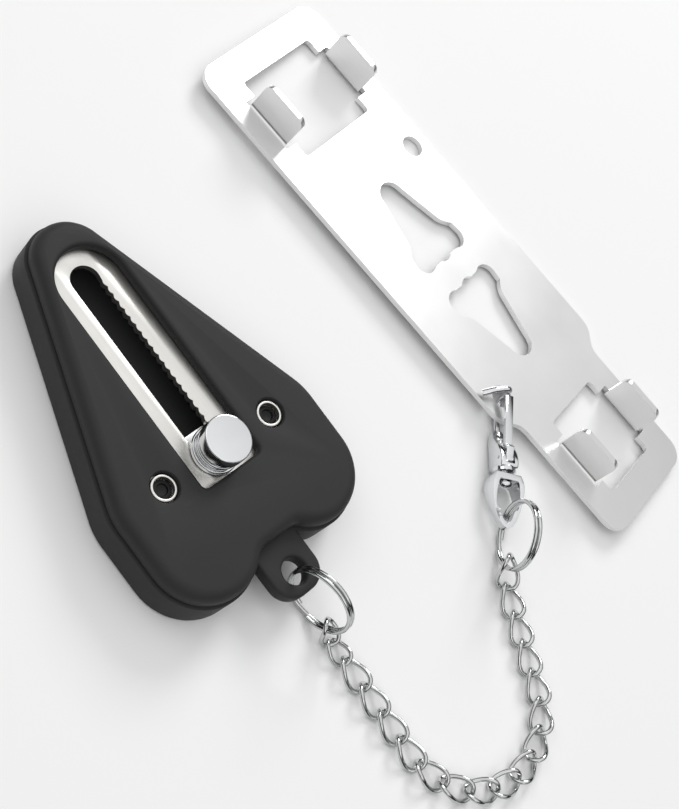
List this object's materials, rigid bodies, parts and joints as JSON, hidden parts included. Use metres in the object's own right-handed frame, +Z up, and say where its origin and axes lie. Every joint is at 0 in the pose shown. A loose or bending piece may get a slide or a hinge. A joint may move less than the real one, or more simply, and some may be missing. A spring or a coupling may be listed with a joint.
{
  "type": "portable travel door lock",
  "caption": "Portable travel door lock: a flat strike plate with bent claws, chained to a heart-shaped black block with a sliding thumb knob.",
  "frame": {"origin": "centre of the bounding box, on the floor the lock lies on", "axes": "+X along the strike plate from its wide-window end to its narrow end, +Y from the lock block to the plate, +Z up out of the floor"},
  "size_m": [0.187, 0.1616, 0.0201],
  "materials": {
    "matt_black": "fine matt",
    "bright_steel": "smooth, softly bright",
    "brushed_track": "fine lengthwise brushing",
    "polished_chrome": "polished",
    "bright_nickel": "polished nickel plate",
    "black_steel": "black oxide"
  },
  "bodies": {
    "lock_block": {"rear_shell": "matt_black", "front_shell": "matt_black", "track_plate": "brushed_track", "track_rivet_right": "black_steel", "track_rivet_left": "black_steel", "rear_screw_tip": "black_steel", "rear_screw_right": "black_steel", "rear_screw_left": "black_steel"},
    "washer": {"knob_washer": "polished_chrome"},
    "knob": {"lock_knob": "polished_chrome"},
    "clamp": {"clamp_nut": "bright_steel"},
    "block_ring": {"split_ring_block": "bright_nickel"},
    "chain_connector_1": {"chain_connector_1": "bright_nickel"},
    "chain_connector_2": {"chain_connector_2": "bright_nickel"},
    "curb_link_01": {"curb_link_01": "bright_nickel"},
    "curb_link_02": {"curb_link_02": "bright_nickel"},
    "curb_link_03": {"curb_link_03": "bright_nickel"},
    "curb_link_04": {"curb_link_04": "bright_nickel"},
    "curb_link_05": {"curb_link_05": "bright_nickel"},
    "curb_link_06": {"curb_link_06": "bright_nickel"},
    "curb_link_07": {"curb_link_07": "bright_nickel"},
    "curb_link_08": {"curb_link_08": "bright_nickel"},
    "curb_link_09": {"curb_link_09": "bright_nickel"},
    "curb_link_10": {"curb_link_10": "bright_nickel"},
    "curb_link_11": {"curb_link_11": "bright_nickel"},
    "curb_link_12": {"curb_link_12": "bright_nickel"},
    "curb_link_13": {"curb_link_13": "bright_nickel"},
    "curb_link_14": {"curb_link_14": "bright_nickel"},
    "curb_link_15": {"curb_link_15": "bright_nickel"},
    "curb_link_16": {"curb_link_16": "bright_nickel"},
    "clasp_ring": {"split_ring_clasp": "bright_nickel"},
    "bail": {"swivel_bail": "polished_chrome"},
    "clasp": {"clasp_body": "polished_chrome", "gate_pin": "bright_nickel", "gate_spring": "bright_nickel", "swivel_rivet": "bright_nickel"},
    "gate": {"clasp_gate": "polished_chrome"},
    "plate": {"strike_plate": "bright_steel"}
  },
  "joints": [
    {"name": "knob_slide", "type": "slide", "parent": "lock_block", "child": "washer", "axis": [-0.9952, 0.0976, 0], "range_m": [0, 0.0465]},
    {"name": "knob_turn", "type": "hinge", "parent": "washer", "child": "knob", "pos_m": [-0.0177, -0.04742, 0.015], "axis": [0, 0, -1], "range_deg": [0, 180]},
    {"name": "clamp_lift", "type": "slide", "parent": "washer", "child": "clamp", "axis": [0, 0, 1], "range_m": [0, 0.00035]},
    {"name": "block_ring_lift", "type": "hinge", "parent": "lock_block", "child": "block_ring", "pos_m": [0.01997, -0.05111, 0.0071], "axis": [-0.0976, -0.9952, 0], "range_deg": [0, 40]},
    {"name": "connector_1_bend", "type": "hinge", "parent": "block_ring", "child": "chain_connector_1", "pos_m": [0.03127, -0.05126, 0.00389], "axis": [0, 0, 1], "range_deg": [-10, 10]},
    {"name": "connector_2_bend", "type": "hinge", "parent": "chain_connector_1", "child": "chain_connector_2", "pos_m": [0.03423, -0.05164, 0.0015], "axis": [0, 0, -1], "range_deg": [-25, 25]},
    {"name": "curb_link_01_bend", "type": "hinge", "parent": "chain_connector_2", "child": "curb_link_01", "pos_m": [0.04013, -0.05241, 0.0019], "axis": [0, 0, 1], "range_deg": [-28, 20]},
    {"name": "curb_link_02_bend", "type": "hinge", "parent": "curb_link_01", "child": "curb_link_02", "pos_m": [0.04702, -0.05331, 0.0019], "axis": [0, 0, -1], "range_deg": [-20, 28]},
    {"name": "curb_link_03_bend", "type": "hinge", "parent": "curb_link_02", "child": "curb_link_03", "pos_m": [0.05441, -0.05427, 0.0019], "axis": [0, 0, 1], "range_deg": [-28, 20]},
    {"name": "curb_link_04_bend", "type": "hinge", "parent": "curb_link_03", "child": "curb_link_04", "pos_m": [0.0618, -0.05523, 0.0019], "axis": [0, 0, -1], "range_deg": [-20, 28]},
    {"name": "curb_link_05_bend", "type": "hinge", "parent": "curb_link_04", "child": "curb_link_05", "pos_m": [0.06919, -0.05619, 0.0019], "axis": [0, 0, 1], "range_deg": [-49.5, 10.5]},
    {"name": "curb_link_06_bend", "type": "hinge", "parent": "curb_link_05", "child": "curb_link_06", "pos_m": [0.07647, -0.05464, 0.0019], "axis": [0, 0, -1], "range_deg": [-10.5, 49.5]},
    {"name": "curb_link_07_bend", "type": "hinge", "parent": "curb_link_06", "child": "curb_link_07", "pos_m": [0.08282, -0.05075, 0.0019], "axis": [0, 0, 1], "range_deg": [-49.5, 10.5]},
    {"name": "curb_link_08_bend", "type": "hinge", "parent": "curb_link_07", "child": "curb_link_08", "pos_m": [0.08752, -0.04496, 0.0019], "axis": [0, 0, -1], "range_deg": [-10.5, 49.5]},
    {"name": "curb_link_09_bend", "type": "hinge", "parent": "curb_link_08", "child": "curb_link_09", "pos_m": [0.09002, -0.03794, 0.0019], "axis": [0, 0, 1], "range_deg": [-49.5, 10.5]},
    {"name": "curb_link_10_bend", "type": "hinge", "parent": "curb_link_09", "child": "curb_link_10", "pos_m": [0.09004, -0.03049, 0.0019], "axis": [0, 0, -1], "range_deg": [-10.5, 49.5]},
    {"name": "curb_link_11_bend", "type": "hinge", "parent": "curb_link_10", "child": "curb_link_11", "pos_m": [0.08758, -0.02346, 0.0019], "axis": [0, 0, 1], "range_deg": [-49.5, 10.5]},
    {"name": "curb_link_12_bend", "type": "hinge", "parent": "curb_link_11", "child": "curb_link_12", "pos_m": [0.08291, -0.01765, 0.0019], "axis": [0, 0, -1], "range_deg": [-10.5, 49.5]},
    {"name": "curb_link_13_bend", "type": "hinge", "parent": "curb_link_12", "child": "curb_link_13", "pos_m": [0.07658, -0.01373, 0.0019], "axis": [0, 0, 1], "range_deg": [-28, 20]},
    {"name": "curb_link_14_bend", "type": "hinge", "parent": "curb_link_13", "child": "curb_link_14", "pos_m": [0.07025, -0.0098, 0.0019], "axis": [0, 0, -1], "range_deg": [-20, 28]},
    {"name": "curb_link_15_bend", "type": "hinge", "parent": "curb_link_14", "child": "curb_link_15", "pos_m": [0.06392, -0.00588, 0.0019], "axis": [0, 0, 1], "range_deg": [-28, 20]},
    {"name": "curb_link_16_bend", "type": "hinge", "parent": "curb_link_15", "child": "curb_link_16", "pos_m": [0.05758, -0.00195, 0.0019], "axis": [0, 0, -1], "range_deg": [-20, 28]},
    {"name": "clasp_ring_bend", "type": "hinge", "parent": "curb_link_16", "child": "clasp_ring", "pos_m": [0.05416, 0.00017, 0.00455], "axis": [0, 0, 1], "range_deg": [-12, 12]},
    {"name": "bail_on_ring", "type": "hinge", "parent": "clasp_ring", "child": "bail", "pos_m": [0.04945, 0.00577, 0.00935], "axis": [0.766, 0.6428, 0], "range_deg": [0, 30]},
    {"name": "clasp_swivel", "type": "hinge", "parent": "bail", "child": "clasp", "pos_m": [0.03752, 0.01969, 0.0037], "axis": [0.6561, -0.7547, 0], "continuous": true},
    {"name": "gate_open", "type": "hinge", "parent": "clasp", "child": "gate", "pos_m": [0.03489, 0.0227, 0.0056], "axis": [-0.7547, -0.6561, 0], "range_deg": [0, 6], "stiffness_Nm_per_rad": 0.02},
    {"name": "plate_turn", "type": "hinge", "parent": "clasp", "child": "plate", "pos_m": [0.02282, 0.03664, 0.00339], "axis": [0, 0.0585, 0.9983], "range_deg": [-6, 25]}
  ],
  "couplings": [
    {"joint": "knob_turn", "follows": "clamp_lift", "rad_per_m": 8976}
  ]
}
